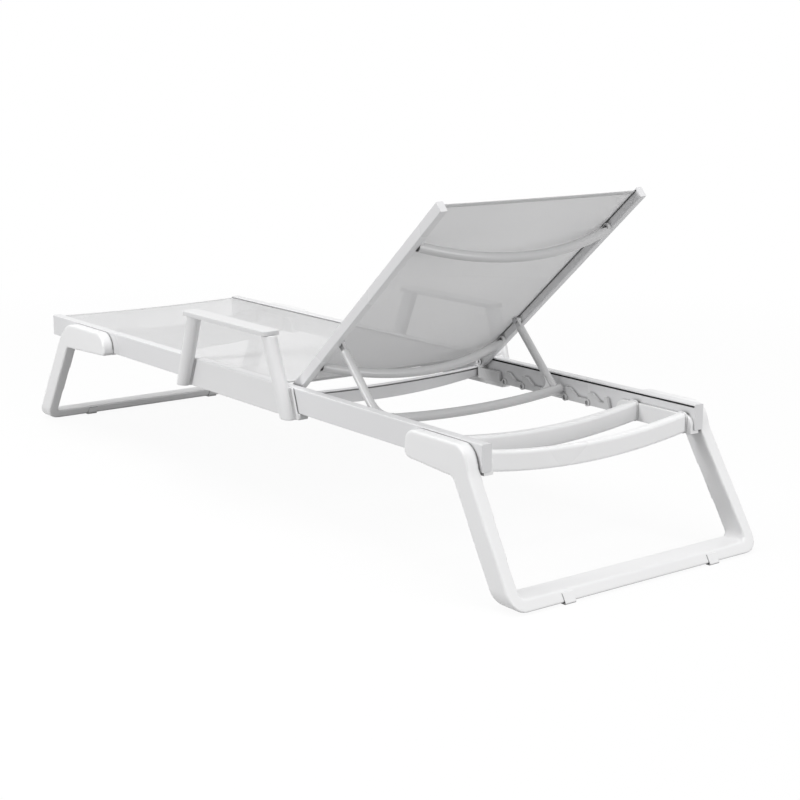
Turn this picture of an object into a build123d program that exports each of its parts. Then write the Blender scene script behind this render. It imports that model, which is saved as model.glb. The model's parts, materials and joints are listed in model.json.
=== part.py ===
from build123d import *
import os
from math import atan, cos, radians, sin

# A sun lounger with a sling bed and a reclining backrest, drawn with the backrest raised. The side rails
# run along X, from the foot end (-X) to the head end (+X). The floor is at Z = 0. Near is -Y, far is +Y.

# Bed frame
rail_length = 1910.0
bed_width = 612.0
seat_height = 301.0
front_reach = 52.0
rear_reach = 143.0
rail_width = 24.0
rail_height = 56.0
rail_wall = 2.4
rail_corner = 2.5

# Sling groove, the same in the side rails and the back rails
groove_drop = 6.0
groove_bore = 7.4
groove_slot = 4.0
groove_rise = 0.8
groove_depth = 6.6
spline_gap = 0.35
sling_thick = 1.0
sling_tuck = 2.4
sling_inset = 2.0

# End caps of the rails
cap_plate = 3.0
cap_plug = 14.0
cap_fit = 0.25

# Leg frames, which lean outward by a share of their height
lean_share = 0.61
leg_band = 58.0
leg_thick = 28.0
leg_splay = 8.0
leg_outer_corner = 34.0
leg_inner_corner = 12.0
leg_bend_round = 60.0
bar_height = 23.0
pad_proud = 29.0
pad_drop = 2.0
pad_below = 4.0
pad_fall = 10.0
rear_pad_length = 206.0
rear_shoulder = 16.0
rear_shoulder_round = 42.0
rear_toe_round = 26.0
rear_heel_round = 18.0
rear_crotch_round = 14.0
front_pad_length = 275.0
front_shoulder = 44.0
front_shoulder_round = 80.0
front_toe_round = 44.0
front_heel_round = 8.0
front_crotch_round = 5.0
leg_edge = 2.5

# Floor pads clipped round the leg frames' bars
floor_pad_width = 27.0
floor_pad_base = 3.0
floor_pad_wall = 2.5
floor_pad_rise = 18.0
floor_pad_spread = 402.0
floor_pad_fit = 0.2
floor_pad_round = 3.0

# Clamp cheeks on the rails' inner faces, and the cross beams between them
cheek_thick = 8.0
cheek_drop = 24.0
cheek_lip = 8.0
cheek_lip_depth = 16.0
cheek_round = 20.0
cheek_edge = 1.5
cheek_gap = 21.0
rear_cheek_inset = 4.0
front_cheek_inset = 120.0
beam_thick = 23.0
beam_collar_thick = 3.0
beam_collar_edge = 2.0
beam_height = 43.0
beam_bow = 22.0
beam_drop = 20.0
beam_round = 7.0
beam_inset = 29.0
beam_pitch = 145.0

# Cross member under the hinge, with a groove along its top
member_from_hinge = 32.0
member_thick = 16.0
member_height = 34.0
member_end_height = 22.0
member_drop = 31.0
member_bow = 8.0
member_groove = 3.0
member_groove_depth = 6.0
member_groove_drop = 1.6
member_flange_radius = 12.0
member_flange_thick = 3.0
member_flange_drop = 37.0
member_edge = 2.0

# Backrest
hinge_from_head = 697.0
hinge_drop = 12.0
rest_angle = 40.76
back_length = 685.0
back_gap = 0.8
back_width = 18.0
back_depth = 24.5
back_wall = 1.8
pivot_setback = 7.5
pivot_depth = 12.0
knuckle_length = 14.0
pin_radius = 5.0
pin_clearance = 0.1
pin_head_radius = 8.0
pin_head_thick = 3.0
pin_socket_radius = 3.4
pin_socket_depth = 1.8
pin_gap = 0.3
pin_seat = 0.15
pin_reach = 12.0
back_sling_start = 3.0
back_tube_diameter = 21.0
back_tube_wall = 1.5
back_tube_end_depth = 19.0
back_tube_bow = 48.0
lower_tube_at = 97.0
upper_tube_from_top = 127.0
tube_ear_radius = 8.0
tube_ear_length = 9.0
tube_ear_rise = 8.0
tube_ear_depth = 17.0
tube_bolt_radius = 2.5
tube_bolt_fit = 0.2
tube_bolt_head = 3.8
tube_bolt_head_thick = 2.0
tube_bolt_recess = 3.5
tube_bolt_grip = 6.0

# Prop stay
stay_pivot_at = 184.0
stay_pivot_depth = 14.0
stay_pin_radius = 4.0
stay_spacer_radius = 7.0
stay_bar_diameter = 22.0
stay_bar_wall = 1.6
stay_bar_bow = 16.0
stay_plug_plate = 2.0
stay_arm_diameter = 19.0
stay_arm_gap = 1.2
stay_eye_radius = 7.0
stay_eye_thick = 7.0
stay_eye_length = 22.0
weld_gap = 0.1
gusset_leg = 34.0
gusset_edge = 2.0
gusset_thick = 4.0

# Recline racks that hold the stay's bar
rack_thick = 9.0
rack_gap = 0.5
rack_top_drop = 29.5
rack_plate_start = 18.0
rack_plate_end = 60.0
rack_step_drop = 52.0
rack_step_lean = 5.0
hook_drop = 26.5
hook_floor_drop = 43.0
hook_lean = 3.0
hook_tip = 17.0
hook_foot = 38.0
hook_round = 2.0
hook_pitch = 75.4
first_hook_pitch = 65.0
last_hook_from_hinge = 375.0
stop_gap = 53.0
stop_width = 10.0
stop_slant = 8.0
boss_radius = 8.5
boss_rise = 2.5
boss_drop = 50.5
screw_radius = 2.2
screw_fit = 0.2
screw_head_radius = 4.8
screw_head_thick = 1.6
screw_recess = 3.6
screw_grip = 7.0

# Armrests, with places along the rails measured from the foot end
arm_height = 124.5
arm_pad_start = 822.0
arm_pad_length = 378.0
arm_pad_width = 46.0
arm_pad_thick = 11.0
arm_pad_corner = 14.0
arm_pad_edge = 3.0
arm_panel_thick = 5.0
arm_panel_below = 14.0
arm_lip_depth = 22.0
arm_post_width = 42.0
arm_post_depth = 31.0
arm_post_top_width = 46.0
arm_post_top_depth = 33.0
front_post_foot = 774.0
front_post_top = 849.0
rear_post_foot = 1247.0
rear_post_top = 1184.0
arm_flange = 28.0
arm_screw_inset = 40.0

# Bolts that clamp the leg frames and the cheeks on the rails
leg_bolt_radius = 3.0
leg_bolt_fit = 0.3
leg_bolt_head = 6.5
leg_bolt_head_thick = 3.0
leg_bolt_grip = 14.0
leg_bolt_drop = 42.0

cut_overrun = 5.0

# Places that follow from the driving dimensions
foot_x = -(front_reach + rail_length + rear_reach) / 2 + front_reach
head_x = foot_x + rail_length
rail_top = seat_height
rail_bottom = rail_top - rail_height
rail_face = bed_width / 2
rail_inner = rail_face - rail_width
bar_bottom = floor_pad_base
bar_top = bar_bottom + bar_height
leg_face_top = rail_face + pad_proud
leg_face_floor = leg_face_top + leg_splay
cheek_face = rail_inner - cheek_thick
rack_face = rail_inner - rack_thick
groove_z = rail_top - groove_drop
spline_radius = groove_bore / 2 - spline_gap
hinge_x = head_x - hinge_from_head
hinge_z = rail_top - hinge_drop
back_outer = rail_inner - back_gap
back_inner = back_outer - back_width
back_cos = cos(radians(rest_angle))
back_sin = sin(radians(rest_angle))


# X and Z of a place on the backrest, along its rails and behind their front face
def on_back(along, depth):
    start_x = hinge_x + pivot_setback * back_cos - pivot_depth * back_sin
    start_z = hinge_z + pivot_setback * back_sin + pivot_depth * back_cos
    return start_x + along * back_cos + depth * back_sin, start_z + along * back_sin - depth * back_cos


# A plane square to the back rails: its local X is the bed's Y, its local Y points out of the front face
def back_section(along):
    x, z = on_back(along, 0)
    return Plane(origin=(x, 0, z), x_dir=(0, 1, 0), z_dir=(back_cos, 0, back_sin))


# A plane parallel to the back's front face: its local X runs up the back rails, its local Y is the bed's Y
def back_layer(depth):
    x, z = on_back(0, depth)
    return Plane(origin=(x, 0, z), x_dir=(back_cos, 0, back_sin), z_dir=(-back_sin, 0, back_cos))


os.makedirs("parts", exist_ok=True)


# Label a finished piece and write its STEP file
def save(piece, name):
    piece.label = name
    export_step(piece, f"parts/{name}.step")


# A near piece and its mirror image on the far side, as two pieces
def save_pair(piece, name):
    with BuildPart() as far_piece:
        mirror(piece, about=Plane.XZ)
    save(piece, f"near_{name}")
    save(far_piece.part, f"far_{name}")


# Fasteners of both sides, kept together as one group
def save_group(near_fasteners, name):
    with BuildPart() as group:
        add(near_fasteners)
        mirror(near_fasteners, about=Plane.XZ)
    save(group.part, name)


# Recline racks: a plate by the hinge, a step down, and hooks that lean towards the foot end
last_hook_x = hinge_x + last_hook_from_hinge
hook_places = [last_hook_x - hook_pitch * step for step in (3, 2, 1, 0)]
hook_places.insert(0, hook_places[0] - first_hook_pitch)
boss_z = rail_top - boss_drop
boss_places = [(hook_x, boss_z) for hook_x in hook_places]
stop_x = last_hook_x + stop_gap
hook_floor_z = rail_top - hook_floor_drop
hook_top_z = rail_top - hook_drop
rack_top_z = rail_top - rack_top_drop
rack_step_z = rail_top - rack_step_drop
rack_outline = [
    (hinge_x - rack_plate_start, rail_bottom),
    (hinge_x - rack_plate_start, rack_top_z),
    (hinge_x + rack_plate_end, rack_top_z),
    (hinge_x + rack_plate_end + rack_step_lean, rack_step_z),
]
for hook_x in hook_places:
    rack_outline += [
        (hook_x, rack_step_z if hook_x == hook_places[0] else hook_floor_z),
        (hook_x - hook_lean, hook_top_z),
        (hook_x - hook_lean + hook_tip, hook_top_z),
        (hook_x + hook_foot, hook_floor_z),
    ]
rack_outline += [
    (stop_x, hook_floor_z),
    (stop_x, rack_top_z),
    (stop_x + stop_width, rack_top_z),
    (stop_x + stop_width + stop_slant, rail_bottom),
]
with BuildPart() as near_rack:
    with BuildSketch(Plane.XZ.offset(rack_face)):
        with BuildLine():
            Polyline(*rack_outline, close=True)
        make_face()
    extrude(amount=rack_thick)
    hook_edges = near_rack.edges().filter_by(Axis.Y)
    tips = hook_edges.filter_by_position(Axis.Z, hook_top_z - hook_round / 2, hook_top_z + hook_round / 2)
    fillet(tips, hook_round)
    with BuildSketch(Plane.XZ.offset(rack_face - boss_rise)):
        with Locations(*boss_places):
            Circle(boss_radius)
    extrude(amount=boss_rise + rack_thick)
    with BuildSketch(Plane.XZ.offset(rack_face - boss_rise)):
        with Locations(*boss_places):
            Circle(screw_head_radius + screw_fit)
    extrude(amount=screw_recess, mode=Mode.SUBTRACT)
    with BuildSketch(Plane.XZ.offset(rack_face - boss_rise)):
        with Locations(*boss_places):
            Circle(screw_radius + screw_fit)
    extrude(amount=boss_rise + rack_thick, mode=Mode.SUBTRACT)
save_pair(near_rack.part, "recline_rack")

# Rack screws: a head sunk in each boss, and a shank through the rack and the rail's inner wall
screw_seat = rack_face - boss_rise + screw_recess
with BuildPart() as near_rack_screws:
    with BuildSketch(Plane.XZ.offset(screw_seat - screw_head_thick)):
        with Locations(*boss_places):
            Circle(screw_head_radius)
    extrude(amount=screw_head_thick)
    with BuildSketch(Plane.XZ.offset(screw_seat)):
        with Locations(*boss_places):
            Circle(screw_radius)
    extrude(amount=rail_inner - screw_seat + screw_grip)
save_group(near_rack_screws.part, "rack_screws")

# Bolts that clamp each leg frame and its cheek on the rail, with their heads inside the cross beams' ends
rear_cheek_end = head_x - rear_cheek_inset
rear_cheek_start = stop_x + stop_width + stop_slant + cheek_gap
cheek_length = rear_cheek_end - rear_cheek_start
front_cheek_start = foot_x + front_cheek_inset
rear_beam_x = head_x - beam_inset
front_beam_x = front_cheek_start + beam_inset
leg_bolt_z = rail_top - leg_bolt_drop
leg_bolt_places = [
    (front_beam_x, leg_bolt_z),
    (front_beam_x + beam_pitch, leg_bolt_z),
    (rear_beam_x, leg_bolt_z),
    (rear_beam_x - beam_pitch, leg_bolt_z),
]
with BuildPart() as near_leg_bolts:
    with BuildSketch(Plane.XZ.offset(cheek_face - leg_bolt_head_thick)):
        with Locations(*leg_bolt_places):
            RegularPolygon(leg_bolt_head, 6)
    extrude(amount=leg_bolt_head_thick)
    with BuildSketch(Plane.XZ.offset(cheek_face)):
        with Locations(*leg_bolt_places):
            Circle(leg_bolt_radius)
    extrude(amount=cheek_thick + rail_width + leg_bolt_grip)
save_group(near_leg_bolts.part, "leg_bolts")

# Armrest screws, up through the armrest's lip into the rail's bottom wall
arm_foot_z = rail_bottom - arm_panel_below
rail_middle_y = -(rail_face + rail_inner) / 2
arm_screw_places = [
    (foot_x + front_post_foot + arm_screw_inset, rail_middle_y),
    (foot_x + rear_post_foot - arm_screw_inset, rail_middle_y),
]
with BuildPart() as near_arm_screws:
    with BuildSketch(Plane.XY.offset(arm_foot_z - screw_head_thick)):
        with Locations(*arm_screw_places):
            Circle(screw_head_radius)
    extrude(amount=screw_head_thick)
    with BuildSketch(Plane.XY.offset(arm_foot_z)):
        with Locations(*arm_screw_places):
            Circle(screw_radius)
    extrude(amount=arm_panel_below + screw_grip)
save_group(near_arm_screws.part, "armrest_screws")

# Side rails: a hollow extrusion with the sling groove in its inner face
cavity_top = groove_z - groove_bore / 2 - rail_wall
cavity_bottom = rail_bottom + rail_wall
cavity_width = rail_width - 2 * rail_wall
with BuildPart() as near_side_rail:
    with BuildSketch(Plane.YZ.offset(foot_x + cap_plate)):
        with Locations((rail_middle_y, rail_bottom + rail_height / 2)):
            RectangleRounded(rail_width, rail_height, rail_corner)
        with Locations((rail_middle_y, (cavity_top + cavity_bottom) / 2)):
            Rectangle(cavity_width, cavity_top - cavity_bottom, mode=Mode.SUBTRACT)
        with Locations((-rail_inner - groove_depth, groove_z)):
            Circle(groove_bore / 2, mode=Mode.SUBTRACT)
        with Locations((-rail_inner - groove_depth / 2, groove_z + groove_rise)):
            Rectangle(groove_depth + rail_corner, groove_slot, mode=Mode.SUBTRACT)
    extrude(amount=rail_length - 2 * cap_plate)
    with BuildSketch(Plane.XZ.offset(rail_inner - cut_overrun)):
        with Locations(*boss_places):
            Circle(screw_radius + screw_fit)
    extrude(amount=cut_overrun + rail_width / 2, mode=Mode.SUBTRACT)
    with BuildSketch(Plane.XZ.offset(rail_inner - cut_overrun)):
        with Locations(*leg_bolt_places):
            Circle(leg_bolt_radius + leg_bolt_fit)
    extrude(amount=rail_width + 2 * cut_overrun, mode=Mode.SUBTRACT)
    with BuildSketch(Plane.XZ.offset(rail_inner - cut_overrun)):
        with Locations((hinge_x, hinge_z)):
            Circle(pin_radius + pin_seat)
    extrude(amount=cut_overrun + pin_reach + pin_gap, mode=Mode.SUBTRACT)
    with BuildSketch(Plane.XY.offset(rail_bottom - cut_overrun)):
        with Locations(*arm_screw_places):
            Circle(screw_radius + screw_fit)
    extrude(amount=cut_overrun + rail_height / 2, mode=Mode.SUBTRACT)
save_pair(near_side_rail.part, "side_rail")

# End caps: a plate over the rail's end and a plug in its cavity
with BuildPart() as near_foot_cap:
    with BuildSketch(Plane.YZ.offset(foot_x)):
        with Locations((rail_middle_y, rail_bottom + rail_height / 2)):
            RectangleRounded(rail_width, rail_height, rail_corner)
    extrude(amount=cap_plate)
    with BuildSketch(Plane.YZ.offset(foot_x + cap_plate)):
        with Locations((rail_middle_y, (cavity_top + cavity_bottom) / 2)):
            Rectangle(cavity_width - 2 * cap_fit, cavity_top - cavity_bottom - 2 * cap_fit)
    extrude(amount=cap_plug)
save_pair(near_foot_cap.part, "foot_end_cap")
with BuildPart() as near_head_cap:
    mirror(near_foot_cap.part, about=Plane.YZ.offset((foot_x + head_x) / 2))
save_pair(near_head_cap.part, "head_end_cap")


# X of a leaning leg face at a height; outward is 1 at the head end and -1 at the foot end
def lean_x(floor_x, height, outward):
    return floor_x - outward * lean_share * (height - bar_bottom)


# A leg frame: both legs, their pads on the rails' outer faces and the floor bar, moulded in one piece
def leg_frame(floor_x, outward, pad_length, shoulder, corner_rounds):
    pad_top = rail_top - pad_drop
    pad_bottom = rail_bottom - pad_below
    crotch_z = pad_bottom - pad_fall
    bend = (lean_x(floor_x, rail_bottom, outward), rail_bottom)
    toe_x = bend[0] - outward * pad_length
    shoulder_corner = (bend[0] - outward * shoulder, pad_top)
    toe = (toe_x, pad_top)
    heel = (toe_x, pad_bottom)
    crotch = (lean_x(floor_x, crotch_z, outward) - outward * leg_band, crotch_z)
    inner_floor = leg_face_floor - leg_thick
    with BuildPart() as frame:
        with BuildSketch(Plane.XZ) as side:
            with BuildLine():
                Polyline(
                    (floor_x, bar_bottom),
                    bend,
                    shoulder_corner,
                    toe,
                    heel,
                    crotch,
                    (floor_x - outward * leg_band, bar_bottom),
                    close=True,
                )
            make_face()
            for corner, corner_round in zip((shoulder_corner, toe, heel, crotch, bend), corner_rounds):
                fillet(side.vertices().sort_by_distance((*corner, 0))[:1], corner_round)
        extrude(amount=leg_face_floor + cut_overrun, both=True)
        with BuildSketch(Plane.YZ) as front:
            with BuildLine():
                Polyline(
                    (-leg_face_floor, bar_bottom),
                    (leg_face_floor, bar_bottom),
                    (leg_face_top, rail_top + cut_overrun),
                    (-leg_face_top, rail_top + cut_overrun),
                    close=True,
                )
            make_face()
            fillet(front.vertices().group_by(Axis.Y)[0], leg_outer_corner)
        extrude(amount=rail_length, both=True, mode=Mode.INTERSECT)
        with BuildSketch(Plane.YZ) as opening:
            with BuildLine():
                Polyline(
                    (-inner_floor, bar_top),
                    (inner_floor, bar_top),
                    (rail_face, crotch_z),
                    (rail_face, rail_top + 2 * cut_overrun),
                    (-rail_face, rail_top + 2 * cut_overrun),
                    (-rail_face, crotch_z),
                    close=True,
                )
            make_face()
            fillet(opening.vertices().group_by(Axis.Y)[0], leg_inner_corner)
        extrude(amount=rail_length, both=True, mode=Mode.SUBTRACT)
        side_faces = frame.faces().sort_by(Axis.Y)
        fillet(side_faces[0].edges() + side_faces[-1].edges(), leg_edge)
        with BuildSketch(Plane.XZ):
            with Locations(*leg_bolt_places):
                Circle(leg_bolt_radius + leg_bolt_fit)
        extrude(amount=rail_face + leg_bolt_grip + leg_bolt_fit, both=True, mode=Mode.SUBTRACT)
    return frame.part


rear_floor_x = head_x + rear_reach
front_floor_x = foot_x - front_reach
rear_rounds = (rear_shoulder_round, rear_toe_round, rear_heel_round, rear_crotch_round, leg_bend_round)
front_rounds = (front_shoulder_round, front_toe_round, front_heel_round, front_crotch_round, leg_bend_round)
save(leg_frame(rear_floor_x, 1, rear_pad_length, rear_shoulder, rear_rounds), "rear_leg_frame")
save(leg_frame(front_floor_x, -1, front_pad_length, front_shoulder, front_rounds), "front_leg_frame")


# A floor pad: a clip round the bar's underside and the lower part of its two leaning faces
def floor_pad(floor_x, outward, middle_y):
    rise_z = bar_bottom + floor_pad_rise
    foot_side = floor_x if outward < 0 else floor_x - leg_band
    head_side = foot_side + leg_band
    rise_shift = lean_x(floor_x, rise_z, outward) - floor_x
    base_shift = lean_x(floor_x, 0, outward) - floor_x
    outer = floor_pad_fit + floor_pad_wall
    with BuildPart() as pad:
        with BuildSketch(Plane.XZ.offset(-middle_y - floor_pad_width / 2)):
            with BuildLine():
                Polyline(
                    (foot_side - outer + base_shift, 0),
                    (head_side + outer + base_shift, 0),
                    (head_side + outer + rise_shift, rise_z),
                    (foot_side - outer + rise_shift, rise_z),
                    close=True,
                )
            make_face()
            with BuildLine():
                Polyline(
                    (foot_side - floor_pad_fit, bar_bottom),
                    (head_side + floor_pad_fit, bar_bottom),
                    (head_side + floor_pad_fit + rise_shift, rise_z),
                    (foot_side - floor_pad_fit + rise_shift, rise_z),
                    close=True,
                )
            make_face(mode=Mode.SUBTRACT)
        extrude(amount=floor_pad_width)
        fillet(pad.edges().filter_by(Axis.Y).group_by(Axis.Z)[0], floor_pad_round)
    return pad.part


for pad_end, pad_floor_x, pad_outward in (("front", front_floor_x, -1), ("rear", rear_floor_x, 1)):
    for pad_side, pad_y in (("near", -floor_pad_spread / 2), ("far", floor_pad_spread / 2)):
        save(floor_pad(pad_floor_x, pad_outward, pad_y), f"{pad_end}_{pad_side}_floor_pad")


# A clamp cheek: an arched plate on the rail's inner face with a lip under the rail
def cheek(start_x):
    middle_x = start_x + cheek_length / 2
    lip_z = rail_bottom - cheek_lip
    top_z = rail_top - cheek_drop
    with BuildPart() as plate:
        with BuildSketch(Plane.XZ.offset(cheek_face)) as outline:
            with Locations((middle_x, (top_z + lip_z) / 2)):
                Rectangle(cheek_length, top_z - lip_z)
            fillet(outline.vertices().group_by(Axis.Y)[-1], cheek_round)
        extrude(amount=cheek_thick)
        fillet(plate.faces().sort_by(Axis.Y)[-1].edges(), cheek_edge)
        with BuildSketch(Plane.XZ.offset(rail_inner)):
            with Locations((middle_x, rail_bottom - cheek_lip / 2)):
                Rectangle(cheek_length, cheek_lip)
        extrude(amount=cheek_lip_depth)
        with BuildSketch(Plane.XZ.offset(cheek_face - cut_overrun)):
            with Locations(*leg_bolt_places):
                Circle(leg_bolt_radius + leg_bolt_fit)
        extrude(amount=cheek_thick + cut_overrun, mode=Mode.SUBTRACT)
    return plate.part


save_pair(cheek(rear_cheek_start), "rear_cheek")
save_pair(cheek(front_cheek_start), "front_cheek")


# A cross beam between two cheeks, bowed down in its middle
def cross_beam(middle_x):
    end_z = rail_top - beam_drop
    with BuildPart() as beam:
        with BuildSketch(Plane.YZ.offset(middle_x - beam_thick / 2)):
            with BuildLine():
                top = ThreePointArc((-cheek_face, end_z), (0, end_z - beam_bow), (cheek_face, end_z))
                low = ThreePointArc(
                    (cheek_face, end_z - beam_height),
                    (0, end_z - beam_height - beam_bow),
                    (-cheek_face, end_z - beam_height),
                )
                Line(top @ 1, low @ 0)
                Line(low @ 1, top @ 0)
            make_face()
        extrude(amount=beam_thick)
        fillet(beam.edges().filter_by(GeomType.CIRCLE), beam_round)
        for collar_start in (cheek_face, beam_collar_thick - cheek_face):
            with BuildSketch(Plane.XZ.offset(collar_start)):
                with Locations((middle_x, end_z - beam_height / 2)):
                    RectangleRounded(
                        beam_thick + 2 * beam_collar_edge,
                        beam_height + 2 * beam_collar_edge,
                        beam_round + beam_collar_edge,
                    )
            extrude(amount=-beam_collar_thick)
        for beam_end, inward in ((cheek_face, -1), (-cheek_face, 1)):
            with BuildSketch(Plane.XZ.offset(beam_end)):
                with Locations((middle_x, leg_bolt_z)):
                    Circle(leg_bolt_head + leg_bolt_fit)
            extrude(amount=inward * (leg_bolt_head_thick + leg_bolt_fit), mode=Mode.SUBTRACT)
    return beam.part


save(cross_beam(rear_beam_x), "rear_outer_beam")
save(cross_beam(rear_beam_x - beam_pitch), "rear_inner_beam")
save(cross_beam(front_beam_x), "front_outer_beam")
save(cross_beam(front_beam_x + beam_pitch), "front_inner_beam")

# Cross member under the hinge, deeper in its middle, with a groove near the top of its head-side face
member_x = hinge_x - member_from_hinge
member_top = rail_top - member_drop
member_reach = rail_inner - member_flange_thick
groove_top = member_top - member_groove_drop
with BuildPart() as mid_cross_member:
    with BuildSketch(Plane.YZ.offset(member_x - member_thick / 2)):
        with BuildLine():
            top = ThreePointArc(
                (-member_reach, member_top),
                (0, member_top - member_bow),
                (member_reach, member_top),
            )
            low = ThreePointArc(
                (member_reach, member_top - member_end_height),
                (0, member_top - member_bow - member_height),
                (-member_reach, member_top - member_end_height),
            )
            Line(top @ 1, low @ 0)
            Line(low @ 1, top @ 0)
        make_face()
    extrude(amount=member_thick)
    fillet(mid_cross_member.edges().filter_by(GeomType.CIRCLE).group_by(Axis.Z)[0], member_edge)
    with BuildSketch(Plane.YZ.offset(member_x + member_thick / 2 - member_groove_depth)):
        with BuildLine():
            top = ThreePointArc(
                (-rail_inner, groove_top),
                (0, groove_top - member_bow),
                (rail_inner, groove_top),
            )
            low = ThreePointArc(
                (rail_inner, groove_top - member_groove),
                (0, groove_top - member_groove - member_bow),
                (-rail_inner, groove_top - member_groove),
            )
            Line(top @ 1, low @ 0)
            Line(low @ 1, top @ 0)
        make_face()
    extrude(amount=member_groove_depth + cut_overrun, mode=Mode.SUBTRACT)
    for flange_start in (member_reach, -rail_inner):
        with BuildSketch(Plane.XZ.offset(flange_start)):
            with Locations((member_x, rail_top - member_flange_drop)):
                Circle(member_flange_radius)
        extrude(amount=member_flange_thick)
save(mid_cross_member.part, "mid_cross_member")

# Seat sling, and the spline rods that lock its edges in the grooves
seat_start_x = foot_x + cap_plate + sling_inset
seat_length = member_x - member_thick / 2 - sling_inset - seat_start_x
with BuildPart() as seat_sling:
    with BuildSketch(Plane.XY.offset(groove_z - sling_thick / 2)):
        with Locations((seat_start_x + seat_length / 2, 0)):
            Rectangle(seat_length, 2 * (rail_inner + sling_tuck))
    extrude(amount=sling_thick)
save(seat_sling.part, "seat_sling")
with BuildPart() as near_seat_spline:
    with BuildSketch(Plane.YZ.offset(seat_start_x)):
        with Locations((-rail_inner - groove_depth, groove_z)):
            Circle(spline_radius)
    extrude(amount=seat_length)
save_pair(near_seat_spline.part, "seat_spline")

# Armrests: two splayed posts on a panel that covers the rail's outer face and turns in under it
arm_top_z = rail_top + arm_height
post_top_z = arm_top_z - arm_pad_thick
post_foot_y = -(rail_face + arm_post_depth / 2)
post_top_y = -(rail_face + arm_panel_thick + arm_post_top_depth / 2)
front_foot_x = foot_x + front_post_foot
rear_foot_x = foot_x + rear_post_foot
front_top_x = foot_x + front_post_top
rear_top_x = foot_x + rear_post_top
panel_rise_share = (rail_top - arm_foot_z) / (post_top_z - arm_foot_z)
front_panel_top = front_foot_x - arm_flange + (front_top_x - front_foot_x) * panel_rise_share
rear_panel_top = rear_foot_x + arm_flange + (rear_top_x - rear_foot_x) * panel_rise_share
with BuildPart() as near_armrest:
    for foot_place, top_place in ((front_foot_x, front_top_x), (rear_foot_x, rear_top_x)):
        with BuildSketch(Plane.XY.offset(arm_foot_z)):
            with Locations((foot_place, post_foot_y)):
                Ellipse(arm_post_width / 2, arm_post_depth / 2)
        with BuildSketch(Plane.XY.offset(post_top_z)):
            with Locations((top_place, post_top_y)):
                Ellipse(arm_post_top_width / 2, arm_post_top_depth / 2)
        loft()
    with BuildSketch(Plane.XZ.offset(rail_face)):
        with BuildLine():
            Polyline(
                (front_foot_x - arm_flange, arm_foot_z),
                (rear_foot_x + arm_flange, arm_foot_z),
                (rear_panel_top, rail_top),
                (front_panel_top, rail_top),
                close=True,
            )
        make_face()
    extrude(amount=arm_panel_thick)
    with BuildSketch(Plane.XZ.offset(rail_face - arm_lip_depth)):
        with Locations(((front_foot_x + rear_foot_x) / 2, (arm_foot_z + rail_bottom) / 2)):
            Rectangle(rear_foot_x - front_foot_x + 2 * arm_flange, arm_panel_below)
    extrude(amount=arm_lip_depth)
    with BuildSketch(Plane.XY.offset(arm_foot_z)):
        with Locations(*arm_screw_places):
            Circle(screw_radius + screw_fit)
    extrude(amount=arm_panel_below, mode=Mode.SUBTRACT)
save_pair(near_armrest.part, "armrest")

# Arm pads: flat boards with round corners on the posts' tops
with BuildPart() as near_arm_pad:
    with BuildSketch(Plane.XY.offset(post_top_z)):
        with Locations((foot_x + arm_pad_start + arm_pad_length / 2, post_top_y)):
            RectangleRounded(arm_pad_length, arm_pad_width, arm_pad_corner)
    extrude(amount=arm_pad_thick)
    fillet(near_arm_pad.faces().sort_by(Axis.Z)[-1].edges(), arm_pad_edge)
save_pair(near_arm_pad.part, "arm_pad")

# Hinge pins: a head on the back rail's inner side and a shank into the side rail
with BuildPart() as near_hinge_pin:
    with BuildSketch(Plane.XZ.offset(back_inner - pin_gap - pin_head_thick)):
        with Locations((hinge_x, hinge_z)):
            Circle(pin_head_radius)
    extrude(amount=pin_head_thick)
    with BuildSketch(Plane.XZ.offset(back_inner - pin_gap)):
        with Locations((hinge_x, hinge_z)):
            Circle(pin_radius)
    extrude(amount=rail_inner - back_inner + pin_gap + pin_reach)
    with BuildSketch(Plane.XZ.offset(back_inner - pin_gap - pin_head_thick)):
        with Locations((hinge_x, hinge_z)):
            RegularPolygon(pin_socket_radius, 6)
    extrude(amount=pin_socket_depth, mode=Mode.SUBTRACT)
save_pair(near_hinge_pin.part, "hinge_pin")

# Back rails: an extrusion with the same groove, from the hinge knuckle to the top cap
back_middle_y = -(back_outer + back_inner) / 2
knuckle_end = knuckle_length - pivot_setback
back_cavity_front = groove_drop + groove_bore / 2 + back_wall
back_cavity_depth = back_depth - back_wall - back_cavity_front
back_cavity_middle = -back_cavity_front - back_cavity_depth / 2
back_cavity_width = back_width - 2 * back_wall
pivot_x, pivot_z = on_back(stay_pivot_at, stay_pivot_depth)
upper_tube_at = back_length - upper_tube_from_top
tube_bolt_places = [
    on_back(lower_tube_at + tube_ear_rise, tube_ear_depth),
    on_back(upper_tube_at + tube_ear_rise, tube_ear_depth),
]
with BuildPart() as near_back_rail:
    with BuildSketch(back_section(knuckle_end)):
        with Locations((back_middle_y, -back_depth / 2)):
            RectangleRounded(back_width, back_depth, rail_corner)
        with Locations((back_middle_y, back_cavity_middle)):
            Rectangle(back_cavity_width, back_cavity_depth, mode=Mode.SUBTRACT)
        with Locations((-back_inner - groove_depth, -groove_drop)):
            Circle(groove_bore / 2, mode=Mode.SUBTRACT)
        with Locations((-back_inner - groove_depth / 2, groove_rise - groove_drop)):
            Rectangle(groove_depth + rail_corner, groove_slot, mode=Mode.SUBTRACT)
    extrude(amount=back_length - knuckle_end - cap_plate)
    with BuildSketch(Plane.XZ.offset(back_inner - cut_overrun)):
        with Locations(*tube_bolt_places):
            Circle(tube_bolt_radius + tube_bolt_fit)
    extrude(amount=cut_overrun + back_width / 2, mode=Mode.SUBTRACT)
    with BuildSketch(Plane.XZ.offset(back_inner - cut_overrun)):
        with Locations((pivot_x, pivot_z)):
            Circle(stay_pin_radius + pin_seat)
    extrude(amount=cut_overrun + back_width / 2 + pin_gap, mode=Mode.SUBTRACT)
save_pair(near_back_rail.part, "back_rail")

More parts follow.
